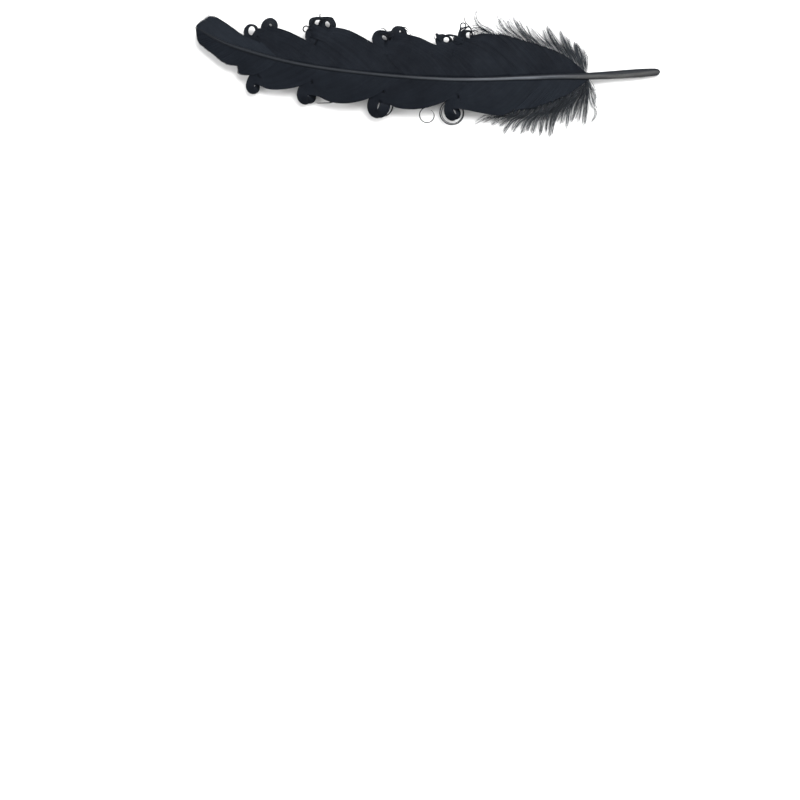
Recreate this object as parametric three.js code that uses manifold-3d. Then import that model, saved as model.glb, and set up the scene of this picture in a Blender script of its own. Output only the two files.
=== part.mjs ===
// A goose quill feather with curled vane edges, lying on a surface with its domed face up.
// Millimetres, +Z up. The tip points along -X, the bare quill along +X, the leading vane is on the +Y side.
// The feather stands on the quill's end and on the undersides of its curls.
import * as THREE from "three";
import { mergeVertices } from "three/addons/utils/BufferGeometryUtils.js";
import Module from "manifold-3d";

const wasm = await Module();
wasm.setup();

// Driving dimensions
const quillEndRounding = 2.5;
const shaftSides = 14;
const shaftSteps = 64;
const shaftStepGrowth = 1.4; // packs the steps closer at the quill's rounded end
const vaneThickness = 0.7;
const vaneRows = 5;
const vaneColumnWidth = 2.2;
const vaneLeastReach = 0.5; // the narrowest the sheet gets, beside the shaft
const vaneDroop = 2.2; // how far the vane's edge hangs below the shaft, at the droop span
const droopSpan = 18;
const tipFold = 1.6; // how far the leading vane turns up at the tip
const tipFoldStart = -68;
const tipFoldEnd = -84;
const tipFoldSpan = 9; // the leading vane's tip is fully turned up this far from the shaft
const pieceGap = 0.35;
const weldDistance = 1e-4;
const curlWall = 0.65;
const curlTail = 3;
const curlInnerShare = 0.45; // inner end radius over outer radius
const curlStepDeg = 30;
const downThickness = 1.4;
const downBelowVane = 0.5;
const downDroop = 1.6; // how far the downy fringe hangs below its inner edge
const downSpan = 22;
const downToothDepth = 1.6;
const downToothWidth = 1.7;
const downLowest = [0.1, 0.7]; // heights of the lower and upper face where the down lies on the surface

// The shaft's centre line, from the quill's end to the tip: x, y, height.
const shaftPath = [
  [90.6, 2.4, 1.16],
  [63.3, 0.1, 3.7],
  [38, -1.3, 5.6],
  [10, -1.9, 6.9],
  [-24, 0.4, 7.2],
  [-52, 4.8, 6.5],
  [-74, 11.4, 5.5],
  [-88.6, 18.8, 4.6],
];

// The shaft's radius at distances from the quill's end.
const shaftGauge = [
  [0, 1.32],
  [8, 1.5],
  [24, 1.42],
  [38, 1.1],
  [66, 0.78],
  [110, 0.58],
  [150, 0.4],
  [186, 0.2],
];

// Each lock of the vane, from the tip to the base: its edge, from the parting on its tip side to the parting
// on its base side. The first stretch, where the barbs roll up into curls, is blunt. The rest is smooth.
const leadingLocks = [
  [
    [-89.4, 19.6],
    [-87.6, 20.1],
    [-84, 22.9],
    [-80.1, 21.3],
    [-71.6, 15.4],
  ],
  [
    [-71.1, 15.6],
    [-67, 17.4],
    [-62, 19.2],
    [-58.2, 18.4],
    [-51.7, 16],
    [-46.9, 13],
  ],
  [
    [-46.7, 17],
    [-42.5, 18.8],
    [-35, 18.9],
    [-30, 17.5],
    [-22.1, 12.1],
  ],
  [
    [-21.6, 13.4],
    [-16.6, 15.4],
    [-10.5, 16.6],
    [-7.2, 15.5],
    [2.5, 11.6],
  ],
  [
    [3, 12],
    [7.5, 13.9],
    [16.4, 14.9],
    [23.8, 16],
    [37.7, 13.3],
    [50.9, 9.3],
    [59, 3.5],
    [61.8, 1.4],
  ],
];
const trailingLocks = [
  [
    [-89.4, 18.2],
    [-88.4, 13.2],
    [-84.4, 9.7],
    [-79.3, 5.3],
    [-73.8, 3.8],
  ],
  [
    [-73.3, 1.4],
    [-71, 0.4],
    [-69.4, 0.2],
  ],
  [
    [-69, -2.2],
    [-64.7, -4],
    [-58.1, -5.3],
    [-54, -5],
    [-49.6, -3.9],
  ],
  [
    [-49.2, -7],
    [-46, -8.6],
    [-41, -9.2],
    [-34.6, -11],
    [-28, -10.4],
    [-21.3, -8],
  ],
  [
    [-20.9, -11],
    [-17, -12],
    [-12.5, -12.4],
    [-5, -13.2],
    [1.7, -11.6],
    [6.1, -10.6],
  ],
  [
    [6.6, -12.6],
    [14.9, -13.8],
    [28.8, -14.9],
    [39.7, -13.5],
    [52.1, -8.9],
    [57.5, -5],
    [61.8, -2.2],
  ],
];

// Each curl of rolled barb ends: centre x, centre y, outer radius, turns.
const leadingCurls = [
  [-67.6, 17.6, 2.5, 0.9],
  [-60.7, 19.4, 2.7, 1.5],
  [-42.5, 20.6, 2.5, 1.4],
  [-38, 19.4, 2.4, 1.5],
  [-16.4, 14.5, 2.7, 1.5],
  [-10.6, 16.9, 2.4, 1.5],
  [7.5, 13.8, 2.4, 1.3],
  [14.6, 16, 2.5, 1.4],
];
const trailingCurls = [
  [-67.3, -3.1, 3.2, 1.5],
  [-46.2, -7.2, 3.7, 1.6],
  [-18.3, -12.2, 4, 1.6],
  [0.2, -14, 2.8, 0.9],
  [10, -14.3, 4.5, 1.6],
];

// The outer edge of the down under each vane's base, from its tip side to the quill.
const leadingDownEdge = [
  [18.2, 18.5],
  [19.6, 24.6],
  [27.3, 24.6],
  [34, 23],
  [46.4, 20.4],
  [51.7, 18.2],
  [57.7, 14],
  [61, 11],
  [62.8, 4],
];
const trailingDownEdge = [
  [15.5, -17],
  [22.6, -19],
  [30, -21],
  [48, -21.6],
  [58, -19],
  [64.3, -17.2],
  [66, -13],
  [66.2, -6.5],
];

const shaftLine = new THREE.CatmullRomCurve3(
  shaftPath.map((p) => new THREE.Vector3(...p)),
  false,
  "centripetal",
);
const shaftLength = shaftLine.getLength();
const shaftSampleCount = 400;
const shaftSamples = shaftLine.getSpacedPoints(shaftSampleCount);

// The value at x in a table of [x, value] pairs, in straight stretches.
function along(table, x) {
  const next = Math.max(1, table.findIndex(([at]) => at >= x));
  const [x0, v0] = table[next - 1];
  const [x1, v1] = table[next];
  return v0 + (v1 - v0) * THREE.MathUtils.clamp((x - x0) / (x1 - x0), 0, 1);
}

function shaftRadius(distance) {
  const s = Math.min(distance, shaftLength, shaftGauge.at(-1)[0]);
  const inRounding = Math.min(1, s / quillEndRounding);
  return along(shaftGauge, s) * Math.sqrt(1 - (1 - inRounding) ** 2);
}

// The shaft's centre and radius where it passes a given x.
function shaftAt(x) {
  const found = shaftSamples.findIndex((p) => p.x <= x);
  const i = THREE.MathUtils.clamp(found < 0 ? shaftSamples.length - 1 : found, 1, shaftSamples.length - 1);
  const [a, b] = [shaftSamples[i - 1], shaftSamples[i]];
  const t = THREE.MathUtils.clamp((a.x - x) / (a.x - b.x), 0, 1);
  const centre = a.clone().lerp(b, t);
  const distance = ((i - 1 + t) / (shaftSamples.length - 1)) * shaftLength;
  return { centre, radius: shaftRadius(distance) };
}

// The quill and its shaft: a turned rod, bent along the centre line.
function shaftGeometry() {
  const profile = [new THREE.Vector2(0, 0)];
  for (let i = 1; i <= shaftSteps; i++) {
    const distance = shaftLength * (i / shaftSteps) ** shaftStepGrowth;
    profile.push(new THREE.Vector2(shaftRadius(distance), distance));
  }
  profile.push(new THREE.Vector2(0, shaftLength));
  const rod = new THREE.LatheGeometry(profile, shaftSides);
  const position = rod.attributes.position;
  const up = new THREE.Vector3(0, 0, 1);
  for (let i = 0; i < position.count; i++) {
    const [across, distance, above] = [position.getX(i), position.getY(i), position.getZ(i)];
    const t = THREE.MathUtils.clamp(distance / shaftLength, 0, 1);
    const tangent = shaftLine.getTangentAt(t);
    const sideways = tangent.clone().cross(up).normalize();
    const upwards = sideways.clone().cross(tangent);
    const bent = shaftLine.getPointAt(t).addScaledVector(sideways, across).addScaledVector(upwards, above);
    position.setXYZ(i, bent.x, bent.y, bent.z);
  }
  return rod;
}

// The height of a vane's middle surface, at a distance out from the shaft.
function vaneHeight(x, out, side) {
  const fold = side > 0 ? tipFold * THREE.MathUtils.smoothstep(-x, -tipFoldStart, -tipFoldEnd) : 0;
  return shaftAt(x).centre.z - vaneDroop * (out / droopSpan) ** 2 + fold * Math.min(1, out / tipFoldSpan);
}

// A closed sheet from cross-sections that all have the same number of points. Each holds its upper points,
// inner to outer, and then its lower points, outer to inner.
function sheetGeometry(sections, side) {
  const size = sections[0].length;
  const half = size / 2;
  const triangles = [];
  const quad = (a, b, c, d) => triangles.push(a, b, c, a, c, d);
  for (let s = 0; s + 1 < sections.length; s++) {
    for (let i = 0; i < size; i++) {
      const j = (i + 1) % size;
      quad(s * size + i, s * size + j, (s + 1) * size + j, (s + 1) * size + i);
    }
  }
  const last = (sections.length - 1) * size;
  for (let i = 0; i + 1 < half; i++) {
    const [upper, upperNext, lowerNext, lower] = [i, i + 1, size - 2 - i, size - 1 - i];
    quad(upper, lower, lowerNext, upperNext);
    quad(last + upper, last + upperNext, last + lowerNext, last + lower);
  }
  if (side > 0) triangles.reverse();
  const geometry = new THREE.BufferGeometry();
  geometry.setAttribute("position", new THREE.Float32BufferAttribute(sections.flat(2), 3));
  geometry.setIndex(triangles);
  return geometry;
}

// Points along an edge drawn through a few points, evenly spaced.
function edgePoints(edge, spacing) {
  const curve = new THREE.SplineCurve(edge.map((p) => new THREE.Vector2(...p)));
  const steps = Math.max(2, Math.round(curve.getLength() / spacing));
  return curve.getSpacedPoints(steps);
}

// One cross-section from the shaft out to an edge point. surface gives the upper and lower height there.
function section(edgePoint, side, surface) {
  const { centre, radius } = shaftAt(edgePoint.x);
  const inner = radius + pieceGap;
  const reach = Math.max(side * (edgePoint.y - centre.y), inner + vaneLeastReach);
  const upper = [];
  const lower = [];
  for (let row = 0; row < vaneRows; row++) {
    const out = inner + ((reach - inner) * row) / (vaneRows - 1);
    const [top, bottom] = surface(edgePoint.x, out);
    upper.push([edgePoint.x, centre.y + side * out, top]);
    lower.unshift([edgePoint.x, centre.y + side * out, bottom]);
  }
  return [...upper, ...lower];
}

function vaneGeometry(locks, side) {
  const surface = (x, out) => {
    const middle = vaneHeight(x, out, side);
    return [middle + vaneThickness / 2, middle - vaneThickness / 2];
  };
  const edges = locks.flatMap((lock) => edgePoints(lock, vaneColumnWidth));
  return sheetGeometry(
    edges.map((p) => section(p, side, surface)),
    side,
  );
}

// A curl stands on its edge, from the surface up into the vane. It starts as a straight tail on the shaft's
// side, runs towards the tip and winds outwards and back, inside itself.
function curlGeometry([x, y, radius, turns], side) {
  const steps = Math.ceil((turns * 360) / curlStepDeg);
  const wall = (offset) =>
    Array.from({ length: steps + 1 }, (_, i) => {
      const share = i / steps;
      const angle = -Math.PI / 2 - share * turns * 2 * Math.PI;
      const r = THREE.MathUtils.lerp(radius, radius * curlInnerShare, share) - offset;
      return new THREE.Vector2(x + r * Math.cos(angle), y + side * r * Math.sin(angle));
    });
  const outerWall = wall(0);
  const innerWall = wall(curlWall);
  const tailOuter = new THREE.Vector2(x + curlTail, y - side * radius);
  const tailInner = new THREE.Vector2(x + curlTail, y - side * (radius - curlWall));
  const outline = new THREE.Shape([tailOuter, ...outerWall, ...innerWall.reverse(), tailInner]);
  const out = side * (y - shaftAt(x).centre.y) - radius;
  const top = vaneHeight(x, out, side) + vaneThickness / 4;
  return new THREE.ExtrudeGeometry(outline, { depth: top, bevelEnabled: false, curveSegments: 1 });
}

// A closed geometry as a solid, and back.
function solidOf(geometry) {
  const bare = geometry.clone();
  bare.deleteAttribute("normal");
  bare.deleteAttribute("uv");
  const merged = mergeVertices(bare, weldDistance);
  const mesh = new wasm.Mesh({
    numProp: 3,
    vertProperties: new Float32Array(merged.attributes.position.array),
    triVerts: new Uint32Array(merged.index.array),
  });
  return new wasm.Manifold(mesh);
}

function geometryOf(solid) {
  const mesh = solid.getMesh();
  const geometry = new THREE.BufferGeometry();
  geometry.setAttribute("position", new THREE.BufferAttribute(mesh.vertProperties, 3));
  geometry.setIndex(new THREE.BufferAttribute(mesh.triVerts, 1));
  return geometry;
}

// A vane is its sheet with every curl grown on to it.
function curledVane(locks, curls, side) {
  const grown = curls.reduce(
    (solid, curl) => solid.add(solidOf(curlGeometry(curl, side))),
    solidOf(vaneGeometry(locks, side)),
  );
  return geometryOf(grown);
}

// The down lies under the vane's base and stands out past its edge in ragged tufts.
function downGeometry(edge, side) {
  const surface = (x, out) => {
    const below = vaneHeight(x, out, side) - vaneThickness / 2 - downBelowVane;
    const top = Math.max(downLowest[1], below - downDroop * (out / downSpan) ** 2);
    return [top, Math.max(downLowest[0], top - downThickness)];
  };
  const edges = edgePoints(edge, downToothWidth);
  const ragged = edges.map((p, i) => new THREE.Vector2(p.x, p.y - (i % 2 ? side * downToothDepth : 0)));
  return sheetGeometry(
    ragged.map((p) => section(p, side, surface)),
    side,
  );
}

const quillLook = { color: 0x26282a, roughness: 0.35, metalness: 0 };
const vaneLook = { color: 0x16181c, roughness: 0.8, metalness: 0 };
const downLook = { color: 0x1d2024, roughness: 0.95, metalness: 0 };

const feather = new THREE.Group();

function addPiece(name, geometry, look) {
  const piece = new THREE.Mesh(geometry, new THREE.MeshStandardMaterial(look));
  piece.name = name;
  feather.add(piece);
}

addPiece("quill_shaft", shaftGeometry(), quillLook);
addPiece("leading_vane", curledVane(leadingLocks, leadingCurls, 1), vaneLook);
addPiece("trailing_vane", curledVane(trailingLocks, trailingCurls, -1), vaneLook);
addPiece("leading_down", downGeometry(leadingDownEdge, 1), downLook);
addPiece("trailing_down", downGeometry(trailingDownEdge, -1), downLook);

// The origin is on the surface, under the middle of the feather's length and width.
const bounds = new THREE.Box3().setFromObject(feather);
const middle = bounds.getCenter(new THREE.Vector3());
for (const piece of feather.children) piece.position.set(-middle.x, -middle.y, -bounds.min.z);

export default feather;
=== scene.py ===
import math
import bmesh
import bpy
import numpy as np
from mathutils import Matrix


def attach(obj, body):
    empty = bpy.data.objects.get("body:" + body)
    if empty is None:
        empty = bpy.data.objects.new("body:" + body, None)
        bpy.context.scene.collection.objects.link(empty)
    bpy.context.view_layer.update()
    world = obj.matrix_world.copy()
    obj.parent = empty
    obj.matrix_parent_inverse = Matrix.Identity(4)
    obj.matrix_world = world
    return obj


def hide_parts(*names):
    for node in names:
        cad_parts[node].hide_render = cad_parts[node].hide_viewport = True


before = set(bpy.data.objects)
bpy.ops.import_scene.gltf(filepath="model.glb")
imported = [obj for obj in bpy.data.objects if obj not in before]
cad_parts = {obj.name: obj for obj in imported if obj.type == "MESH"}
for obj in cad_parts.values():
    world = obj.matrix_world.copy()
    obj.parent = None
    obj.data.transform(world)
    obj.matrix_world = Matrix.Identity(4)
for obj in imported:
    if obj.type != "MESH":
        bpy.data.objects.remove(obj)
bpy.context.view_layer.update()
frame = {"nodes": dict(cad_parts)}
print("frame loaded:", ", ".join(frame["nodes"]))

mm = 0.001
tiny = 1e-9  # keeps a length from being nought
drawingCentre = (0.60, 1.69)  # middle of the feather's box, in the drawing's millimetres
floorGap = 0.12  # the least height of the locks' sheets and of the down above the surface, in mm


# Lines and surfaces are worked out in the drawing's millimetres.

def runAlong(line):
    # how far along the line each of its points is
    return np.concatenate([[0], np.cumsum(np.linalg.norm(np.diff(line, axis=0), axis=1))])


def unit(vectors):
    return vectors / np.maximum(np.linalg.norm(vectors, axis=-1), tiny)[..., None]


def squareTo(line):
    # at each point of a flat line, the unit vector that points to its left
    heading = unit(np.gradient(line, axis=0))
    return np.column_stack([-heading[:, 1], heading[:, 0]])


def smoothLine(points, count, between=24):
    # a rounded line through the points, as count points evenly spaced
    points = np.array(points, float)
    chain = np.vstack([2 * points[0] - points[1], points, 2 * points[-1] - points[-2]])
    steps = np.maximum(np.linalg.norm(np.diff(chain, axis=0), axis=1), tiny) ** 0.5
    t = np.linspace(0, 1, between, endpoint=False)[:, None]
    dense = []
    for i in range(len(points) - 1):
        before, start, end, after = chain[i:i + 4]
        d0, d1, d2 = steps[i:i + 3]
        leave = end - start + d1 * ((start - before) / d0 - (end - before) / (d0 + d1))
        arrive = end - start + d1 * ((after - end) / d2 - (after - start) / (d1 + d2))
        cubic = 2 * (start - end) + leave + arrive
        square = -3 * (start - end) - 2 * leave - arrive
        dense.append(start + leave * t + square * t ** 2 + cubic * t ** 3)
    dense = np.vstack(dense + [points[-1:]])
    run = runAlong(dense)
    at = np.linspace(0, run[-1], count)
    return np.column_stack([np.interp(at, run, dense[:, k]) for k in range(dense.shape[1])])


def ease(low, high, value):
    # 0 below low, 1 above high, and a soft rise between them
    share = np.clip((value - low) / (high - low), 0, 1)
    return share * share * (3 - 2 * share)


def toFrame(points):
    # the drawing's millimetres to the frame's metres
    points = np.array(points, float)
    points[..., 0] -= drawingCentre[0]
    points[..., 1] -= drawingCentre[1]
    return points * mm


shaft = {
    "path": [  # the quill's end to the tip: x, y, height
        (91.0, 2.2, 1.42), (63.3, 0.05, 3.7), (50, -0.4, 4.8), (38, -1.0, 5.6), (10, -1.85, 6.9),
        (-24, 0.4, 7.2), (-52, 4.6, 6.5), (-74, 10.8, 5.5), (-81, 13.7, 5.05), (-89.3, 18.5, 4.5),
    ],
    "gauge": [  # radius at distances from the quill's end
        (0, 1.3), (3, 1.5), (8, 1.7), (16, 1.63), (26, 1.42), (38, 1.15), (66, 0.84), (110, 0.7),
        (140, 0.74), (165, 0.76), (176, 0.55), (182, 0.3), (186, 0.12),
    ],
    "tone": [  # brightness of the painted highlight band, at distances from the quill's end
        (0, 0.38), (8, 0.6), (16, 0.84), (25, 0.64), (36, 0.62), (48, 1.05), (63, 1.2), (80, 0.7),
        (101, 0.22), (140, 0.12), (165, 0.07), (180, 0.02), (186, 0.0),
    ],
    "paintedHighlightSide": [  # where the painted highlight band runs, at distances from the quill's end: -1 is the trailing side
        (0, -0.2), (8, -0.45), (16, -0.6), (24, -0.38), (34, -0.3), (186, -0.3),
    ],
    "band": [  # half the width of the painted highlight band, in radii
        (0, 0.7), (8, 0.58), (16, 0.5), (24, 0.52), (34, 0.66), (186, 0.75),
    ],
    "bare": [(0, 1), (26, 1), (42, 0)],  # 1 on the quill, which is greyer and mottled, and 0 on the shaft
    "rounding": 2.2,  # length of the rounded end
    "thinnest": 0.02,
    "sides": 28,
    "rings": 260,
}

shaftPoints = smoothLine(shaft["path"], shaft["rings"])
shaftRun = runAlong(shaftPoints)
shaftRadii = np.interp(shaftRun, *zip(*shaft["gauge"]))


def shaftAt(x):
    # the shaft's centre y, centre height and radius, where it passes x
    values = shaftPoints[:, 1], shaftPoints[:, 2], shaftRadii
    return [np.interp(x, shaftPoints[::-1, 0], each[::-1]) for each in values]


vaneShape = {
    "droop": 2.2,  # how far the edge hangs below the shaft, at the droop span
    "droopSpan": 18,
    "tipFold": 1.6,  # how far the leading vane turns up at the tip
    "tipFoldFrom": -68,
    "tipFoldTo": -84,
    "tipFoldSpan": 9,
}


def vaneHeight(x, y, side):
    centreY, centreZ = shaftAt(x)[:2]
    out = np.maximum(side * (y - centreY), 0)
    fold = vaneShape["tipFold"] * ease(-vaneShape["tipFoldFrom"], -vaneShape["tipFoldTo"], -x) * (side > 0)
    droop = vaneShape["droop"] * (out / vaneShape["droopSpan"]) ** 2
    return centreZ - droop + fold * np.minimum(1, out / vaneShape["tipFoldSpan"])


# Trees of nodes are built by these, and run on a guide mesh by grow.

def newTree(name, guide, sizes):
    # a new tree whose inputs are the guide mesh, the sizes and a material, and what comes in by them
    tree = bpy.data.node_groups.new(name, "GeometryNodeTree")
    for label, value in {guide: "Geometry", **sizes, "Material": "Material"}.items():
        kind = value if isinstance(value, str) else "Int" if isinstance(value, int) else "Float"
        socket = tree.interface.new_socket(label, in_out="INPUT", socket_type="NodeSocket" + kind)
        if kind != value:
            socket.default_value = value
    tree.interface.new_socket("Geometry", in_out="OUTPUT", socket_type="NodeSocketGeometry")
    return tree, tree.nodes.new("NodeGroupInput").outputs


def feed(tree, socket, value):
    # value is a plain value, or the output that feeds the socket
    if isinstance(value, bpy.types.NodeSocket):
        tree.links.new(value, socket)
    else:
        socket.default_value = value


def addNode(tree, kind, sockets=None, **settings):
    # sockets maps an input's name or number to what feeds it
    node = tree.nodes.new(kind)
    for name, value in settings.items():
        setattr(node, name, value)
    for key, value in (sockets or {}).items():
        feed(tree, node.inputs[key], value)
    return node


def output(tree, kind, sockets=None, **settings):
    # the first output of a new node
    return addNode(tree, kind, sockets, **settings).outputs[0]


def calc(tree, operation, *values, clamp=False):
    sockets = dict(enumerate(values))
    return output(tree, "ShaderNodeMath", sockets, operation=operation, use_clamp=clamp)


def times(tree, value, *others):
    for other in others:
        value = calc(tree, "MULTIPLY", value, other)
    return value


def remap(tree, value, low, high, toLow=0.0, toHigh=1.0):
    return output(tree, "ShaderNodeMapRange", {0: value, 1: low, 2: high, 3: toLow, 4: toHigh})


def vector(tree, parts):
    return output(tree, "ShaderNodeCombineXYZ", parts)


def randomFor(tree, low, high, number, seed):
    # a random value for each number; draws with other seeds are independent of it
    node = addNode(tree, "FunctionNodeRandomValue", {"ID": number, "Seed": seed}, data_type="FLOAT")
    for key, value in (("Min", low), ("Max", high)):
        feed(tree, [s for s in node.inputs if s.name == key and s.type == "VALUE"][0], value)
    return [s for s in node.outputs if s.type == "VALUE"][0]


def storeValue(tree, geometry, name, value, domain="POINT", kind="FLOAT"):
    sockets = {"Geometry": geometry, "Name": name, "Value": value}
    node = addNode(tree, "GeometryNodeStoreNamedAttribute", sockets, domain=domain, data_type=kind)
    return node.outputs[0]


def readValue(tree, name, kind="FLOAT"):
    node = addNode(tree, "GeometryNodeInputNamedAttribute", {"Name": name}, data_type=kind)
    return node.outputs["Attribute"]


def position(tree):
    return output(tree, "GeometryNodeInputPosition")


def parted(tree, value):
    # the x, y and z of a vector
    return addNode(tree, "ShaderNodeSeparateXYZ", {0: value}).outputs


def finishTree(tree, geometry, material):
    # the tree's last nodes: instances made real, smooth shading and the material
    whole = output(tree, "GeometryNodeRealizeInstances", {"Geometry": geometry})
    shaded = output(tree, "GeometryNodeSetShadeSmooth", {"Geometry": whole})
    painted = output(tree, "GeometryNodeSetMaterial", {"Geometry": shaded, "Material": material})
    tree.links.new(painted, tree.nodes.new("NodeGroupOutput").inputs[0])


def grow(guide, tree, values):
    # runs the tree on the guide mesh, and gives back the plain mesh that it makes
    holder = bpy.data.objects.new("guide", guide)
    bpy.context.scene.collection.objects.link(holder)
    modifier = holder.modifiers.new("grow", "NODES")
    modifier.node_group = tree  # what values doesn't give stays at the tree's own sizes
    for item in tree.interface.items_tree:
        if item.in_out == "INPUT" and item.name in values:
            modifier[item.identifier] = values[item.name]
    grown = bpy.data.meshes.new_from_object(holder.evaluated_get(bpy.context.evaluated_depsgraph_get()))
    bpy.data.objects.remove(holder)
    return grown


def joinMeshes(name, meshes, material):
    # one object from several meshes, with its faces turned outwards
    whole = bmesh.new()
    for mesh in meshes:
        whole.from_mesh(mesh)
        bpy.data.meshes.remove(mesh)
    bmesh.ops.recalc_face_normals(whole, faces=whole.faces)
    for face in whole.faces:
        face.material_index = 0
    made = bpy.data.meshes.new(name)
    whole.to_mesh(made)
    whole.free()
    made.materials.append(material)
    piece = bpy.data.objects.new(name, made)
    bpy.context.scene.collection.objects.link(piece)
    return piece


# Materials read Object coordinates and the named values that each piece's mesh carries.

noiseSpan = (0.3, 0.7)  # most of a noise lies between these


def newMaterial(name, finish):
    material = bpy.data.materials.new(name)
    material.use_nodes = True
    nodes = material.node_tree
    shader = nodes.nodes["Principled BSDF"]
    shader.inputs["Specular IOR Level"].default_value = finish["specular"]
    return material, nodes, shader


def attribute(nodes, name):
    return addNode(nodes, "ShaderNodeAttribute", attribute_name=name).outputs["Fac"]


def mixColours(nodes, share, first, second):
    node = addNode(nodes, "ShaderNodeMix", {0: share}, data_type="RGBA", clamp_factor=False)
    for key, value in ((6, first), (7, second)):
        feed(nodes, node.inputs[key], (*value, 1) if isinstance(value, tuple) else value)
    return node.outputs[2]


def shaderNoise(nodes, scale, detail=2.0, stretch=(1, 1, 1)):
    place = addNode(nodes, "ShaderNodeTexCoord").outputs["Object"]
    place = output(nodes, "ShaderNodeMapping", {"Vector": place, "Scale": stretch})
    sockets = {"Vector": place, "Scale": scale, "Detail": detail}
    return output(nodes, "ShaderNodeTexNoise", sockets)


def addGrain(nodes, shader, finish):
    # uneven gloss and a fine relief
    low, high = finish["roughness"]
    gloss = remap(nodes, shaderNoise(nodes, finish["gloss"]), *noiseSpan, low, high)
    nodes.links.new(gloss, shader.inputs["Roughness"])
    strength, depth, *kind = finish["relief"]
    sockets = {"Strength": strength, "Distance": depth * mm, "Height": shaderNoise(nodes, *kind)}
    nodes.links.new(output(nodes, "ShaderNodeBump", sockets), shader.inputs["Normal"])


barbFinish = {
    "dark": (0.0032, 0.0042, 0.0065),
    "light": (0.0072, 0.0093, 0.0131),
    "worn": (0.009, 0.0112, 0.0146),
    "patches": (90, 3),  # noise: its scale and detail
    "patchRange": (0.35, 0.68),  # the heights of that noise where a patch is darkest and lightest
    "patchShare": 0.55,  # the rest of a shade is each barb's own
    "wornFrom": 0.86,  # share of a barb's length
    "wornShare": 0.5,
    "roughness": (0.5, 0.7),
    "gloss": 420,  # scale of the noise
    "relief": (0.35, 0.04, 6500, 2),  # strength, depth in mm, and the noise's scale and detail
    "specular": 0.06,
}


def barbMaterial():
    material, nodes, shader = newMaterial("dyed_barbs", barbFinish)
    patches = remap(nodes, shaderNoise(nodes, *barbFinish["patches"]), *barbFinish["patchRange"])
    own = times(nodes, attribute(nodes, "tone"), 1 - barbFinish["patchShare"])
    share = calc(nodes, "ADD", own, times(nodes, patches, barbFinish["patchShare"]))
    colour = mixColours(nodes, share, barbFinish["dark"], barbFinish["light"])
    ends = remap(nodes, attribute(nodes, "along"), barbFinish["wornFrom"], 1.0, 0.0, barbFinish["wornShare"])
    nodes.links.new(mixColours(nodes, ends, colour, barbFinish["worn"]), shader.inputs["Base Color"])
    addGrain(nodes, shader, barbFinish)
    return material


downFinish = {
    "dark": (0.0105, 0.0128, 0.0162),
    "light": (0.060, 0.069, 0.080),
    "roughness": 0.75,
    "specular": 0.2,
}


def downMaterial():
    material, nodes, shader = newMaterial("dyed_down", downFinish)
    colour = mixColours(nodes, attribute(nodes, "tone"), downFinish["dark"], downFinish["light"])
    nodes.links.new(colour, shader.inputs["Base Color"])
    shader.inputs["Roughness"].default_value = downFinish["roughness"]
    return material


quillFinish = {
    "dark": (0.005, 0.0065, 0.009),
    # light and bare are the painted highlight's colours, on the shaft and on the bare quill
    "light": (0.076, 0.083, 0.094),
    "bare": (0.092, 0.092, 0.089),
    "streaks": (900, 4, (0.12, 1, 1)),  # noise: its scale, detail and stretch
    "streakDark": 0.55,
    "speck": (0.15, 0.15, 0.145),
    "specks": (2600, 3, (0.5, 1, 1)),
    "speckRange": (0.62, 0.72),  # the heights of that noise where specks begin and are full
    "mottle": 0.55,
    "roughness": (0.4, 0.6),
    "gloss": 1500,
    "relief": (0.3, 0.08, 2400, 4, (0.15, 1, 1)),
    "specular": 0.12,
}


def quillMaterial():
    material, nodes, shader = newMaterial("dyed_quill_painted_highlight", quillFinish)
    bare = attribute(nodes, "bare")
    # a painted highlight band along the shaft, broken by streaks
    off = calc(nodes, "SUBTRACT", attribute(nodes, "side"), attribute(nodes, "paintedHighlightSide"))
    off = calc(nodes, "DIVIDE", off, attribute(nodes, "band"))
    band = calc(nodes, "SUBTRACT", 1.0, times(nodes, off, off), clamp=True)
    streaks = shaderNoise(nodes, *quillFinish["streaks"])
    streaks = remap(nodes, streaks, *noiseSpan, quillFinish["streakDark"], 1.0)
    # how strongly the painted highlight shows at each point
    share = times(nodes, band, streaks, attribute(nodes, "tone"))
    light = mixColours(nodes, bare, quillFinish["light"], quillFinish["bare"])
    colour = mixColours(nodes, share, quillFinish["dark"], light)
    # pale specks, thickest on the bare quill, which show only inside the painted highlight band
    specks = remap(nodes, shaderNoise(nodes, *quillFinish["specks"]), *quillFinish["speckRange"])
    mottle = times(nodes, calc(nodes, "ADD", 1.0, bare), quillFinish["mottle"])
    specks = times(nodes, specks, share, mottle)
    nodes.links.new(mixColours(nodes, specks, colour, quillFinish["speck"]), shader.inputs["Base Color"])
    addGrain(nodes, shader, quillFinish)
    return material


barbPaint = barbMaterial()
downPaint = downMaterial()
quillPaint = quillMaterial()
print("materials ready")


def tubeTree():
    # a round tube along each line, as thick as the line's gauge
    tree, given = newTree("tube", "Lines", {"Sides": shaft["sides"]})
    line = output(tree, "GeometryNodeMeshToCurve", {0: given["Lines"]})
    line = output(tree, "GeometryNodeSetCurveNormal", {"Curve": line}, mode="Z_UP")
    ring = addNode(tree, "GeometryNodeCurvePrimitiveCircle", {"Resolution": given["Sides"], "Radius": 1.0})
    ring = storeValue(tree, ring.outputs[0], "side", parted(tree, position(tree))[0])
    swept = output(tree, "GeometryNodeCurveToMesh", {
        "Curve": line, "Profile Curve": ring, "Scale": readValue(tree, "gauge"), "Fill Caps": True,
    })
    finishTree(tree, swept, given["Material"])
    return tree


def lineGuide(lines, values):
    # lines for a tree to follow: each is a list of points, and has a list in each of the named values
    points, edges = [], []
    for line in lines:
        first = len(points)
        points += list(line)
        edges += [(first + i, first + i + 1) for i in range(len(line) - 1)]
    guide = bpy.data.meshes.new("lines")
    guide.from_pydata(toFrame(points).tolist(), edges, [])
    for name, numbers in values.items():
        guide.attributes.new(name, "FLOAT", "POINT").data.foreach_set("value", np.concatenate(numbers))
    return guide


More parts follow.
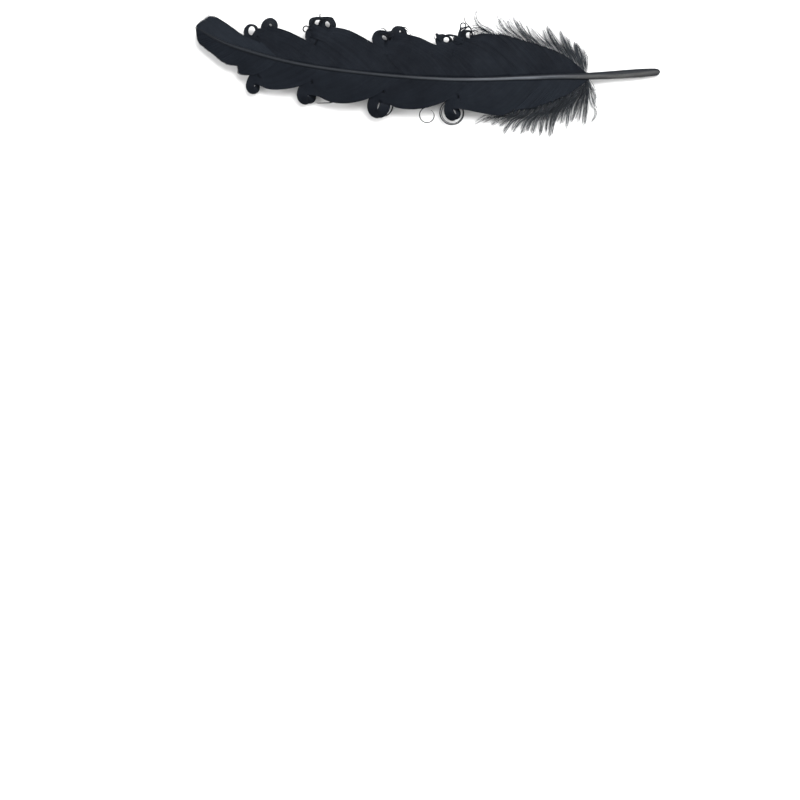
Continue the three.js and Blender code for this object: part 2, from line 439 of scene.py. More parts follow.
def makeShaft():
    rounded = np.sqrt(1 - (1 - np.clip(shaftRun / shaft["rounding"], 0, 1)) ** 2)
    values = {"gauge": [np.maximum(shaftRadii * rounded, shaft["thinnest"]) * mm]}
    # the painted highlight band's brightness, place and width along the shaft, and where the quill is bare
    for name in ("tone", "paintedHighlightSide", "band", "bare"):
        values[name] = [np.interp(shaftRun, *zip(*shaft[name]))]
    given = {"Sides": shaft["sides"], "Material": quillPaint}
    mesh = grow(lineGuide([shaftPoints], values), tubeGrower, given)
    return joinMeshes("quill_and_shaft", [mesh], quillPaint)


tubeGrower = tubeTree()
quill = makeShaft()
print("shaft made:", len(quill.data.polygons), "faces")


# A lock is a band of barbs. roots are where it leaves the shaft, from the base to the tip, and each guide is
# one barb's way from its root. pale and ragged change its barbs' shade and ends, and over widens its last
# side. A lock with a curl ends in a band that winds round the curl's hole, which is oval and leans by so many
# degrees where that is said. tilts are how steeply the band stands at the start, quarter, half, three
# quarters and end of the winding, in degrees.

leadingLocks = [
    {"roots": [62.6, 59, 54, 48, 44.5, 42],
     "guides": [[(61.6, 1.5)], [(55.4, 4.6), (52.2, 8.8)], [(48.5, 6.2), (42.6, 12.6)],
                [(41.5, 7.2), (33, 15.5)], [(37.6, 7.3), (31.4, 13.8), (28.4, 17.1)],
                [(35, 7.4), (29, 13), (24.4, 16.9)]]},
    {"roots": [42, 37.5],
     "guides": [[(35, 7.4), (29, 13), (24.2, 16.3), (20.6, 16.4)],
                [(30.5, 7.2), (25, 11.6), (20.5, 13.9), (17.6, 14.4)]],
     "curl": {"centre": (17.6, 16.4), "hole": (0.85, 0.7), "turns": 1.2, "band": 0.8,
              "tilts": (10, 60, 70, 70, 75)}},
    {"roots": [37.5, 33],
     "guides": [[(30.5, 7.2), (25, 11.6), (20.8, 13.7), (18.4, 14.3)],
                [(26, 6.6), (20.5, 10.6), (16.6, 12.2), (15.4, 12.3)]],
     "curl": {"centre": (16.1, 15.75), "hole": (1.15, 1.05), "turns": 1.0, "band": 2.4,
              "tilts": (5, 22, 62, 66, 74)}},
    {"roots": [33, 19],
     "guides": [[(26, 6.6), (20.5, 11.2), (15.5, 13.6), (11.5, 13.8)], [(12, 6.6), (7.4, 9.6)]],
     "curl": {"centre": (7.4, 13.7), "hole": (1.15, 0.9), "turns": 1.15, "band": 3.3,
              "tilts": (5, 10, 66, 62, 72)}},
    {"roots": [19, 10],
     "guides": [[(12, 6.6), (6.5, 10), (2.0, 12.1), (-2.5, 14.5), (-7, 15.8)],
                [(3.5, 6.2), (-1.5, 9.8), (-6, 12), (-10.4, 12.6)]],
     "curl": {"centre": (-10.6, 17.1), "hole": (0.42, 0.2), "turns": 1.5, "band": 3.4,
              "tilts": (0, 22, 46, 46, 74)}},
    {"roots": [10, -8.5],
     "guides": [[(3.5, 6.2), (-1.5, 9.8), (-6, 12.6), (-11, 13.4)], [(-14.5, 6.4), (-16.8, 8.5)]],
     "curl": {"centre": (-16.6, 14.4), "hole": (0.95, 0.95), "turns": 1.1, "band": 4.6,
              "oval": (0.7, 1.15), "lean": 45, "tilts": (0, 14, 50, 58, 75)}},
    {"roots": [-8.5, -18],
     "guides": [[(-14.5, 6.4), (-19, 10.2), (-22.3, 12.6), (-25.9, 15.2), (-30, 17.4), (-34.6, 18.6)],
                [(-24.4, 7.4), (-30, 11.9), (-35, 14.4), (-38.6, 14.8)]],
     "curl": {"centre": (-38.7, 19.9), "hole": (1.0, 0.95), "turns": 1.05, "band": 3.3,
              "oval": (0.85, 1.2), "lean": 20, "tilts": (0, 28, 46, 40, 70)}},
    {"roots": [-18, -25],
     "guides": [[(-24.4, 7.4), (-30, 11.9), (-35, 14.9), (-38.8, 17.2)],
                [(-31, 6.4), (-36, 10.6), (-40.2, 13.6), (-42.4, 14.6)]],
     "curl": {"centre": (-42.5, 20.7), "hole": (1.1, 1.0), "turns": 1.05, "band": 3.0,
              "oval": (0.85, 1.15), "lean": -50, "tilts": (0, 32, 56, 60, 72)}},
    {"roots": [-25, -33],
     "guides": [[(-31, 6.4), (-36, 10.6), (-39.6, 13.8)],
                [(-39.5, 7.8), (-43.4, 10.4)]],
     "curl": {"centre": (-42.0, 15.6), "hole": (0.7, 0.45), "turns": 1.35, "band": 4.8,
              "oval": (1.0, 0.6), "tilts": (3, 6, 34, 50, 70)}},
    {"roots": [-33, -43],
     "guides": [[(-39.5, 7.8), (-46.9, 13.1), (-51.7, 16), (-54.8, 17.4), (-58, 18.4)],
                [(-49.6, 9.9), (-55, 13.0), (-60, 14.4)]],
     "curl": {"centre": (-60.7, 19.5), "hole": (0.62, 0.35), "turns": 1.3, "band": 4.3,
              "oval": (1.1, 0.8), "lean": -30, "tilts": (5, 38, 42, 66, 74)}},
    {"roots": [-43, -58.5],
     "guides": [[(-49.6, 9.9), (-55, 13.2), (-60, 16.6), (-63.6, 18.2), (-66.0, 18.2), (-67.1, 17.0)],
                [(-65, 11.2), (-68, 12.6)]],
     "curl": {"centre": (-68.0, 17.3), "hole": (1.6, 1.45), "turns": 0.85, "band": 2.3,
              "oval": (0.85, 1.15), "tilts": (5, 30, 56, 54, 40)}},
    {"roots": [-57.2, -66, -74, -81, -88.2], "over": 1, "pale": 4.5,
     "guides": [[(-62.6, 10.8), (-66.0, 13.6), (-69.0, 14.6), (-71.9, 15.7), (-76.3, 18.8), (-80.3, 21.4),
                 (-83.4, 23.2)],
                [(-72, 13.2), (-78.7, 18.6), (-85.6, 23.4)], [(-80, 16.4), (-87.4, 21.9)],
                [(-85, 18.1), (-89.1, 20.5)], [(-89.8, 19.2)]]},
]

trailingLocks = [
    {"roots": [62.6, 60, 56, 50.5, 45], "pale": 3.0, "ragged": 0.12,
     "guides": [[(61.6, -2.3)], [(57, -3.9), (53.4, -8)], [(51.5, -6), (46.3, -11.2)],
                [(45, -7), (38.3, -13.8)], [(39, -7.6), (33.5, -12.4), (29.4, -14.8)]]},
    {"roots": [45, 18.5], "pale": 0.8,
     "guides": [[(39, -7.6), (33.5, -12.4), (28.8, -15.2), (21, -14.7), (15.2, -13.6)],
                [(12, -7.4), (10.1, -8.6)]],
     "curl": {"centre": (10.6, -14.2), "hole": (0.85, 0.7), "turns": 2.1, "band": 4.0,
              "oval": (0.34, 1.4), "lean": 28, "tilts": (0, 12, 72, 56, 76)}},
    {"roots": [18.5, -10],
     "guides": [[(12, -7.4), (6.1, -10.2), (1.7, -11.8), (-3.8, -13.2), (-8.5, -13.3), (-12.5, -12.6),
                 (-15, -11.4)],
                [(-16, -5.2), (-18.4, -6.5)]],
     "curl": {"centre": (-18.9, -11.9), "hole": (0.95, 0.8), "turns": 2.1, "band": 4.3,
              "oval": (0.32, 1.6), "lean": -18, "tilts": (0, 12, 54, 4, 74)}},
    {"roots": [-10, -38.5], "pale": 0.4,
     "guides": [[(-16, -5.2), (-21.3, -8.2), (-25.9, -9.8), (-30.6, -10.9), (-34.6, -11.0), (-38.6, -10.2),
                 (-42, -8.4)],
                [(-44, -1.6), (-46.2, -2.7)]],
     "curl": {"centre": (-46.2, -8.0), "hole": (0.3, 0.1), "turns": 2.0, "band": 4.6,
              "oval": (0.6, 1.3), "tilts": (0, 20, 66, 52, 75)}},
    {"roots": [-38.5, -58], "pale": 0.9,
     "guides": [[(-44, -1.6), (-49.4, -3.8), (-54, -5.1), (-58.1, -5.6), (-62.3, -5.2), (-65, -3.9)],
                [(-63.4, 2.6), (-68.4, 0.4)]],
     "curl": {"centre": (-67.0, -3.9), "hole": (0.34, 0.2), "turns": 2.0, "band": 3.4,
              "oval": (0.5, 1.6), "lean": -35, "tilts": (0, 8, 46, 62, 75)}},
    {"roots": [-58, -62, -66], "pale": 0.8,
     "guides": [[(-62.2, 2.4), (-68.6, -0.2)], [(-67, 3.4), (-73.4, 0.4)], [(-69.8, 5.2), (-74.0, 3.2)]]},
    {"roots": [-66, -71, -76, -80, -84, -88.2], "over": 1, "pale": 0.8,
     "guides": [[(-69.8, 5.2), (-73.8, 3.5)], [(-75, 6.2), (-78.6, 4.4)], [(-80.2, 9.2), (-83.2, 8.0)],
                [(-83.8, 12.0), (-86.8, 10.7)], [(-87.0, 14.6), (-89.0, 12.9)], [(-90.0, 18.3)]]},
]

# A loose barb has come away from the vane by itself: its gauge and its way, then for some the ring that it
# winds into (centre, first and last radius, start angle, turns) and its heights at the root and the end.
leadingLoose = [
    (0.27, [(12.4, 15.8), (12.7, 17.8)], {"ring": ((13.85, 19.2), 1.0, 0.9, 200, -1.1)}),
    (0.45, [(12.2, 14.6), (12.3, 16.2), (12.8, 17.5), (13.7, 18.2), (14.8, 18.4), (15.8, 18.8),
            (16.6, 18.4), (17.3, 17.0)]),
    (0.32, [(12.4, 14.6), (12.7, 16.2), (13.4, 16.8), (14.5, 17.1), (15.9, 17.2), (16.9, 17.0),
            (18.9, 17.1), (20.4, 15.8)]),
    (0.22, [(14.5, 22.4), (14.55, 20.9), (15.6, 19.4), (16.5, 18.6), (17.2, 17.2), (17.4, 15.0)]),
    (0.5, [(12.4, 14.2), (12.6, 15.8), (13.2, 16.9)]),
    (0.3, [(14.2, 14.6), (14.5, 15.8), (15.0, 16.6)]),
    (0.32, [(12.8, 15.8), (13.8, 17.3), (15.2, 17.9)]),
    (0.13, [(16.8, 18.8), (18.4, 19.3), (20.3, 18.8), (22.8, 17.2), (24.6, 16.4)]),
    (0.12, [(17.2, 18.0), (19.2, 18.5), (21.2, 17.8), (23.8, 16.2)]),
    (0.12, [(20.0, 15.6), (22.4, 17.0), (24.2, 16.6), (26.4, 15.6)]),
    (0.3, [(14.2, 14.0), (12.2, 14.8), (10.6, 15.2), (8.8, 15.6), (7.0, 15.4), (4.6, 14.5)]),
    (0.34, [(10.0, 15.0), (9.0, 15.3), (7.4, 15.1), (5.6, 14.4)]),
    (0.46, [(14.0, 13.4), (12.2, 14.2), (10.6, 14.6), (9.8, 15.2)]),
    (0.52, [(13.8, 12.8), (12.2, 13.6), (10.5, 14.0), (9.8, 14.6)]),
    (0.52, [(13.4, 12.2), (11.6, 12.9), (10.3, 13.3), (9.9, 14.1)]),
    (0.5, [(12.6, 11.8), (11.0, 12.2), (10.1, 12.7), (9.9, 13.5)]),
    (0.52, [(13.2, 12.6), (11.4, 13.1), (10.5, 13.5), (10.3, 14.2)]),
    (0.52, [(12.8, 13.1), (11.4, 13.7), (10.5, 14.1), (10.1, 14.6)]),
    (0.4, [(13.0, 13.6), (12.3, 14.6), (12.0, 15.6)]),
    (0.44, [(5.4, 13.2), (3.8, 14.8), (3.2, 16.3)]),
    (0.42, [(5.6, 13.9), (4.4, 15.2), (3.5, 16.4)]),
    (0.34, [(6.2, 14.6), (5.2, 15.3), (4.2, 15.9)]),
    (0.26, [(7.0, 15.2), (5.8, 15.4), (4.8, 15.8)]),
    (0.15, [(3.8, 13.2), (2.7, 14.4), (2.7, 15.8)]),
    (0.34, [(-19.4, 16.4), (-17.6, 17.1), (-15.6, 16.7), (-14.0, 17.0), (-12.6, 18.0)]),
    (0.46, [(-18.2, 16.1), (-16.2, 16.4), (-14.2, 16.4), (-12.8, 17.3)]),
    (0.46, [(-15.0, 15.9), (-13.8, 15.8), (-12.8, 16.4)]),
    (0.5, [(-14.6, 14.6), (-13.8, 15.0), (-12.8, 15.5)]),
    (0.5, [(-14.0, 13.0), (-13.6, 13.9), (-12.9, 14.8)]),
    (0.21, [(-15.8, 17.0), (-17.0, 18.0), (-18.4, 18.2)]),
    (0.3, [(-10.2, 18.7), (-9.2, 18.1), (-8.4, 17.2), (-7.8, 15.6)]),
    (0.18, [(-9.6, 18.6), (-8.2, 18.2), (-7.3, 17.3)]),
    (0.18, [(-9.2, 17.8), (-7.8, 17.1), (-7.0, 16.3)]),
    (0.15, [(-7.4, 14.9), (-6.3, 15.9), (-5.2, 16.0)]),
    (0.34, [(-45.7, 19.4), (-45.5, 21.2), (-44.6, 22.0), (-41.6, 22.2), (-38.6, 22.4), (-36.8, 22.1),
            (-35.9, 20.9)]),
    (0.4, [(-45.1, 19.2), (-44.9, 20.6), (-44.2, 21.4), (-42.6, 21.8)]),
    (0.34, [(-44.0, 21.4), (-41.2, 21.6), (-38.4, 21.9)]),
    (0.3, [(-41.2, 21.6), (-41.6, 22.6), (-41.5, 24.2)]),
    (0.26, [(-44.2, 17.2), (-45.4, 18.2)], {"ring": ((-47.0, 17.8), 1.15, 1.1, 60, 0.66)}),
    (0.5, [(-64.6, 12.8), (-66.4, 13.9), (-67.8, 14.3), (-69.2, 14.9)]),
    (0.4, [(-65.0, 13.6), (-66.4, 14.5), (-67.4, 14.9)]),
]
trailingLoose = [
    (0.2, [(8, -9.2), (4.4, -10.3), (1.4, -11.4)],
     {"ring": ((-0.1, -14.95), 2.95, 2.8, 80, 0.95), "heights": (4.6, 1.6)}),
    (0.22, [(15, -8.0), (11.4, -8.8), (8.2, -9.3)],
     {"ring": ((9.6, -14.05), 4.75, 4.65, 125, 0.8), "heights": (4.4, 2.2)}),
    (0.18, [(15, -8.6), (12, -9.2), (9.2, -9.6)],
     {"ring": ((9.6, -14.0), 4.0, 4.35, 120, 0.78), "heights": (4.0, 1.8)}),
    (0.22, [(-34, -9.4), (-37.5, -10.3), (-40.5, -10.4), (-43.9, -10.4)], {"heights": (4.4, 3.2)}),
    (0.3, [(-13.2, -9.6), (-13.4, -11.6), (-14.0, -13.4), (-15.3, -14.8), (-17.2, -15.6)],
     {"heights": (4.6, 2.6)}),
]

loose = {
    "heights": (6.0, 5.6),
    "points": 34,
    "ringPoints": 24,
    "strands": 3,  # fine barbs that cling together in each of them
    "strandGauge": 0.5,  # a strand's radius, as a share of theirs
    "drift": (0.4, 1.2),  # how far strands part and close again, in shares of their first distance
    "shortest": 0.86,
    "sides": 4,
    "thinFrom": 0.6,  # share of the length
    "thinEnd": 0.35,
    "ringEnd": 0.8,
    "wear": 0.5,  # how worn the end is
}

barbs = {
    "pitch": 0.45,  # along the shaft
    "rootDepth": 0.6,  # how far out in the shaft barbs start, in its radii
    "width": 0.68,  # half a barb's width, in barb spacings: more than half, so that barbs overlap
    "pointFrom": 0.92,  # where a barb starts to narrow, as a share of its length
    "point": 0.3,  # its width at the end, as a share
    "ridge": 0.085,  # how far a barb's ridge stands out of the vane
    "ridgeEnd": 0.4,
    "unevenness": 0.05,
    "wave": 0.16,
    "waveSteps": (0.13, 1.6),  # how fast the wave changes from barb to barb, and along a barb
    "ragged": 0.03,  # how much shorter some barbs are
    "raggedFrom": 0.75,
    "curlRagged": 0.1,
    "curlSpread": 1.9,  # how much wider the barbs of a curl are, so that no light comes between them
    "spreadOver": (0.25, 0.6),  # where along a barb that widening happens
    "twist": 7.0,  # the band starts to tilt this far before its curl
    "narrowOver": 0.2,  # turns in which the band takes the curl's breadth
    "levelOver": 0.3,  # turns in which the band loses the vane's slope
    "drop": 0.5,  # how far the end of a curl's inner edge hangs below its start
    "flatRows": 18,
    "rowsPerTurn": 26,
    "columns": 26,
    "inset": 0.001,  # keeps barbs just inside the sheet, as a share of it
    "overlap": 0.7,  # how far a lock reaches under its neighbours
    "overlapOver": 0.4,  # share of the lock in which the overlap grows
    "holeClear": (0.4, 0.7),  # where along a lock its overlap ends again, on the side of the curl's hole
    "layer": 0.12,  # difference in height between neighbouring locks
    "layerOver": 0.3,
    "seedStep": 10,
}


def barbTree():
    # a four-sided rod for each barb, laid on the lock's sheet
    tree, given = newTree("barbs", "Sheet", {
        "Barbs": 10, "Segments": 16, "Width": barbs["width"], "Spread": 1.0, "Ridge": barbs["ridge"] * mm,
        "Unevenness": barbs["unevenness"] * mm, "Wave": barbs["wave"] * mm, "Ragged": barbs["ragged"],
        "Pale": 0.0, "Seed": 1,
    })
    places = output(tree, "GeometryNodeMeshLine", {"Count": given["Barbs"], "Offset": (0, 0, 0)})
    rod = addNode(tree, "GeometryNodeMeshCylinder", {
        "Vertices": 4, "Side Segments": given["Segments"], "Radius": 1.0, "Depth": 1.0,
    }).outputs["Mesh"]
    rods = output(tree, "GeometryNodeInstanceOnPoints", {"Points": places, "Instance": rod})
    rods = storeValue(tree, rods, "barb", output(tree, "GeometryNodeInputIndex"), "INSTANCE", "INT")
    rods = output(tree, "GeometryNodeRealizeInstances", {"Geometry": rods})
    number = readValue(tree, "barb", "INT")
    place = position(tree)
    across, above, lengthwise = parted(tree, place)
    along = calc(tree, "ADD", lengthwise, 0.5)
    # where the barb lies on the sheet, and how much it narrows towards its end
    shortest = calc(tree, "SUBTRACT", 1.0, given["Ragged"])
    reach = randomFor(tree, shortest, 1 - barbs["inset"], number, given["Seed"])
    narrow = remap(tree, along, barbs["pointFrom"], 1.0, 1.0, barbs["point"])
    wider = remap(tree, along, *barbs["spreadOver"], 1.0, given["Spread"])
    aside = times(tree, times(tree, across, given["Width"]), times(tree, narrow, wider))
    column = calc(tree, "ADD", calc(tree, "ADD", number, 0.5), aside)
    column = calc(tree, "DIVIDE", column, given["Barbs"])
    column = calc(tree, "MINIMUM", calc(tree, "MAXIMUM", column, barbs["inset"]), 1 - barbs["inset"])
    late = remap(tree, along, barbs["raggedFrom"], 1.0)
    short = times(tree, late, calc(tree, "SUBTRACT", 1.0, reach))
    row = calc(tree, "MAXIMUM", calc(tree, "SUBTRACT", along, short), barbs["inset"])
    onSheet = vector(tree, {0: column, 1: row})

    def fromSheet(value):
        sockets = {"Mesh": given["Sheet"], "Value": value, "Sample UV": onSheet}
        node = addNode(tree, "GeometryNodeSampleUVSurface", sockets, data_type="FLOAT_VECTOR")
        tree.links.new(readValue(tree, "UVMap", "FLOAT_VECTOR"), node.inputs[2])
        return node.outputs[0]

    # the ridge, each barb's own height and a slow wave over many barbs
    thinner = remap(tree, along, 0.0, 1.0, 1.0, barbs["ridgeEnd"])
    ridge = times(tree, above, given["Ridge"], thinner)
    own = randomFor(tree, -1.0, 1.0, number, calc(tree, "ADD", given["Seed"], 7))
    own = times(tree, own, given["Unevenness"])
    steps = [times(tree, *pair) for pair in zip((number, along), barbs["waveSteps"])]
    drift = vector(tree, {0: steps[0], 1: steps[1], 2: given["Seed"]})
    wave = output(tree, "ShaderNodeTexNoise", {"Vector": drift, "Scale": 1.0, "Detail": 1.0})
    wave = times(tree, calc(tree, "SUBTRACT", wave, 0.5), given["Wave"])
    lift = calc(tree, "ADD", ridge, times(tree, calc(tree, "ADD", own, wave), along))
    upwards = fromSheet(readValue(tree, "liftDir", "FLOAT_VECTOR"))
    raised = output(tree, "ShaderNodeVectorMath", {0: upwards, "Scale": lift}, operation="SCALE")
    whole = output(tree, "GeometryNodeSetPosition", {
        "Geometry": rods, "Position": fromSheet(place), "Offset": raised,
    })
    tone = randomFor(tree, 0.0, 1.0, number, calc(tree, "ADD", given["Seed"], 3))
    tone = calc(tree, "ADD", tone, times(tree, along, given["Pale"]))
    whole = storeValue(tree, whole, "tone", tone)
    whole = storeValue(tree, whole, "along", along)
    finishTree(tree, whole, given["Material"])
    return tree


def bandAround(flat, side, curl):
    # the rows of a lock that ends in a curl: the flat rows, tilting, and then the winding
    near, far = flat[:, 0], flat[:, -1]
    run = runAlong(near[:, :2])
    turnRows = math.ceil(curl["turns"] * barbs["rowsPerTurn"])
    turned = np.linspace(0, curl["turns"], turnRows + 1)[1:]
    angle = -np.pi / 2 - turned * 2 * np.pi
    outward = np.column_stack([np.cos(angle), side * np.sin(angle)])
    hole = np.interp(turned, [0, curl["turns"]], curl["hole"])
    lean = math.radians(curl.get("lean", 0))
    swing = np.array([[math.cos(lean), math.sin(lean)], [-math.sin(lean), math.cos(lean)]])
    ring = np.array(curl["centre"]) + hole[:, None] * (outward * curl.get("oval", (1, 1))) @ swing
    drop = barbs["drop"] * turned / curl["turns"]
    path = np.vstack([near, np.column_stack([ring, near[-1, 2] - drop])])
    # which way, how wide and how steep the band lies across each point of its path
    over = far[:, :2] - near[:, :2]
    wide = np.linalg.norm(over, axis=1)
    turning = ease(0, barbs["twist"], run - (run[-1] - barbs["twist"]))[:, None]
    flatWay = unit((1 - turning) * over / wide[:, None] + turning * side * squareTo(near[:, :2]))
    way = np.vstack([flatWay, outward])
    narrowing = wide[-1] + (curl["band"] - wide[-1]) * ease(0, barbs["narrowOver"], turned)
    width = np.concatenate([wide, narrowing])
    rise = far[:, 2] - near[:, 2]
    rise = np.concatenate([rise, rise[-1] * (1 - ease(0, barbs["levelOver"], turned))])
    stages = (0, 0.25, 0.5, 0.75, max(1.0, curl["turns"]))
    tilt = np.concatenate([turning[:, 0] * curl["tilts"][0], np.interp(turned, stages, curl["tilts"])])
    tilt = np.radians(tilt)
    across = np.column_stack([way * np.cos(tilt)[:, None], -np.sin(tilt)]) * width[:, None]
    across[:, 2] += rise
    share = np.linspace(0, 1, flat.shape[1])[None, :, None]
    band = path[:, None] + share * across[:, None]
    started = turning[:, :, None]
    band[:len(near)] = (1 - started) * flat + started * band[:len(near)]
    return band


def widened(plan, lock):
    # the sheet's two sides, moved out to lie under the neighbouring locks
    share = np.linspace(0, 1, plan.shape[1])[None, :, None]
    along = np.linspace(0, 1, plan.shape[0])[:, None, None]
    grown = barbs["overlap"] * ease(0, barbs["overlapOver"], along)
    near = grown * (1 - share) ** 3 * lock["under"]
    if "curl" in lock:
        near = near * (1 - ease(*barbs["holeClear"], along))
    far = grown * share ** 3 * lock["over"]
    return plan + unit(np.gradient(plan, axis=1)) * (far - near)


def lockSheet(lock, side, layer):
    # a lock's guide surface, with a map of it: across the barbs, and along them
    curl = lock.get("curl")
    guides = []
    for number, (root, guide) in enumerate(zip(lock["roots"], lock["guides"])):
        centreY, _, radius = shaftAt(root)
        points = [(root, centreY + side * radius * barbs["rootDepth"]), *guide]
        if curl and number == 0:
            reach = curl["hole"][0] * curl.get("oval", (1, 1))[1]
            points.append((curl["centre"][0], curl["centre"][1] - side * reach))
        guides.append(smoothLine(points, barbs["flatRows"]))
    guides = np.array(guides)
    plan = np.array([smoothLine(guides[:, row], barbs["columns"]) for row in range(barbs["flatRows"])])
    plan = widened(plan, lock)
    raised = layer * ease(0, barbs["layerOver"], np.linspace(0, 1, len(plan)))[:, None]
    flat = np.dstack([plan, vaneHeight(plan[..., 0], plan[..., 1], side) + raised])
    rows = bandAround(flat, side, curl) if curl else flat
    rows[..., 2] = np.maximum(rows[..., 2], floorGap)
    lift = unit(np.cross(np.gradient(rows, axis=0), np.gradient(rows, axis=1)))
    lift *= np.sign(lift[2:8, 2:-2, 2].mean())  # upwards on the flat part
    count, columns = rows.shape[:2]
    corners = np.arange(count * columns).reshape(count, columns)
    faces = np.stack([corners[:-1, :-1], corners[:-1, 1:], corners[1:, 1:], corners[1:, :-1]], axis=-1)
    mesh = bpy.data.meshes.new("lock")
    mesh.from_pydata(toFrame(rows.reshape(-1, 3)).tolist(), [], faces.reshape(-1, 4).tolist())
    mesh.attributes.new("liftDir", "FLOAT_VECTOR", "POINT").data.foreach_set("vector", lift.ravel())
    acrossMap, alongMap = np.meshgrid(np.linspace(0, 1, columns), np.linspace(0, 1, count))
    flatMap = np.stack([acrossMap, alongMap], axis=-1).reshape(-1, 2)
    used = np.empty(len(mesh.loops), int)
    mesh.loops.foreach_get("vertex_index", used)
    mesh.uv_layers.new(name="UVMap").uv.foreach_set("vector", flatMap[used].ravel())
    return mesh, count - 1


def ringPoints(centre, first, last, start, turns):
    angles = np.radians(start) + np.linspace(0, turns, loose["ringPoints"]) * 2 * np.pi
    reaches = np.linspace(first, last, loose["ringPoints"])
    return [(centre[0] + r * math.cos(a), centre[1] + r * math.sin(a)) for a, r in zip(angles, reaches)]


def looseBarbs(strays, seed):
    rng = np.random.default_rng(seed)
    lines, values = [], {"gauge": [], "tone": [], "along": []}
    share = np.linspace(0, 1, loose["points"])
    for gauge, way, *more in strays:
        more = dict(*more)
        winds = "ring" in more
        middle = smoothLine(way + (ringPoints(*more["ring"]) if winds else []), loose["points"])
        square = squareTo(middle)
        height = np.interp(share, (0, 1), more.get("heights", loose["heights"]))
        thinEnd = loose["ringEnd"] if winds else loose["thinEnd"]
        thinning = np.interp(share, (0, loose["thinFrom"], 1), (1, 1, thinEnd))
        room = gauge * (1 - loose["strandGauge"])
        for offset in np.linspace(-room, room, loose["strands"]):
            drift = offset * np.interp(share, (0, 0.5, 1), rng.uniform(*loose["drift"], 3))
            plan = middle + square * drift[:, None]
            reach = share * rng.uniform(loose["shortest"], 1)
            plan = [np.interp(reach, share, plan[:, k]) for k in (0, 1)]
            lines.append(np.column_stack([*plan, height + rng.uniform(-room, room)]))
            values["gauge"].append(gauge * mm * loose["strandGauge"] * thinning)
            values["tone"].append(rng.uniform(0, 1) + 0 * share)
            values["along"].append(loose["wear"] * share)
    return grow(lineGuide(lines, values), tubeGrower, {"Sides": loose["sides"], "Material": barbPaint})


def makeVane(name, locks, strays, side, seed):
    meshes = [looseBarbs(strays, seed)]
    for number, lock in enumerate(locks):
        lock = {"under": number > 0, "over": number < len(locks) - 1, **lock}
        sheet, segments = lockSheet(lock, side, number % 2 * barbs["layer"])
        curled = "curl" in lock
        meshes.append(grow(sheet, barbGrower, {
            "Barbs": round((lock["roots"][0] - lock["roots"][-1]) / barbs["pitch"]), "Segments": segments,
            "Ragged": barbs["curlRagged"] if curled else lock.get("ragged", barbs["ragged"]),
            "Spread": barbs["curlSpread"] if curled else 1.0,
            "Pale": lock.get("pale", 0.0), "Seed": seed + barbs["seedStep"] * number, "Material": barbPaint,
        }))
    return joinMeshes(name, meshes, barbPaint)


barbGrower = barbTree()
leadingVane = makeVane("leading_barbs", leadingLocks, leadingLoose, 1, 100)
trailingVane = makeVane("trailing_barbs", trailingLocks, trailingLoose, -1, 500)
print("vanes made:", len(leadingVane.data.polygons), "and", len(trailingVane.data.polygons), "faces")


# A wisp is a few downy barbs that leave the shaft together and end together. Each line tells where it leaves
# the shaft, its way from the vane's edge to its end, its barbs, its breadth, and how full it is.
leadingWisps = [
    (62.3, [(61.8, 4.0), (61.9, 7.2), (60.6, 11.4)], 5, 1.2, 0.5),
    (62.1, [(61.3, 4.2), (60.4, 8.2), (58.4, 13.2)], 7, 1.3, 1.0),
    (61.5, [(59.6, 5.4), (58.2, 9.5), (57.5, 13.7)], 8, 1.5, 1.0),
    (60.6, [(57.3, 7.0), (55.6, 10.7), (54.6, 15.4)], 8, 2.2, 0.85),
    (60.2, [(56.8, 7.3), (54.7, 11.6), (53.2, 16.6)], 6, 2.0, 0.7),
    (59.8, [(56.1, 7.4), (53.5, 12.6), (51.7, 18.2)], 7, 1.5, 1.0),
    (58.6, [(54.2, 8.5), (50.0, 13.8), (47.0, 19.1)], 8, 2.2, 0.8),
    (57.3, [(51.5, 10.1), (48.1, 15.2), (46.4, 20.5)], 6, 1.3, 0.9),
    (55.5, [(49.5, 10.9), (46.9, 13.8), (44.9, 18.4)], 6, 1.8, 0.75),
    (53.6, [(47.6, 11.6), (44.2, 15.0), (41.2, 19.0)], 6, 1.8, 0.6),
    (51.3, [(44.9, 12.2), (41.5, 15.4), (38.8, 20.5)], 6, 1.8, 0.65),
    (49.0, [(42.1, 12.8), (38.3, 16.5), (35.3, 21.9)], 8, 2.0, 0.8),
    (47.4, [(40.2, 13.4), (36.4, 17.9), (33.6, 23.2)], 7, 2.0, 0.6),
    (45.5, [(37.9, 14.2), (33.7, 18.1), (31.2, 22.8)], 7, 2.2, 0.55),
    (43.5, [(35.2, 14.7), (31.0, 18.7), (28.3, 23.2)], 7, 2.0, 0.6),
    (42.0, [(32.8, 15.1), (29.0, 19.6), (27.3, 24.8)], 4, 1.0, 0.5),
    (39.7, [(30.9, 15.5), (27.5, 18.5), (25.2, 22.8)], 4, 1.8, 0.3),
    (37.3, [(28.2, 15.9), (24.7, 18.1), (23.2, 22.3)], 4, 2.0, 0.12),
    (35.5, [(27.0, 16.4), (23.6, 18.4), (20.4, 21.4)], 4, 2.2, 0.15),
    (33.5, [(25.1, 16.9), (21.0, 19.6), (18.8, 22.6), (19.3, 26.0)], 6, 1.9, 0.4),
    (32.4, [(24.6, 16.6), (21.0, 18.6), (18.6, 22.6)], 4, 1.8, 0.45),
    (31.2, [(23.5, 16.4), (20.2, 17.6), (17.6, 19.0)], 6, 2.4, 0.7),
    (61.0, [(60.4, 2.6), (59.2, 6.6), (57.6, 12.6)], 8, 1.2, 1.0),
]
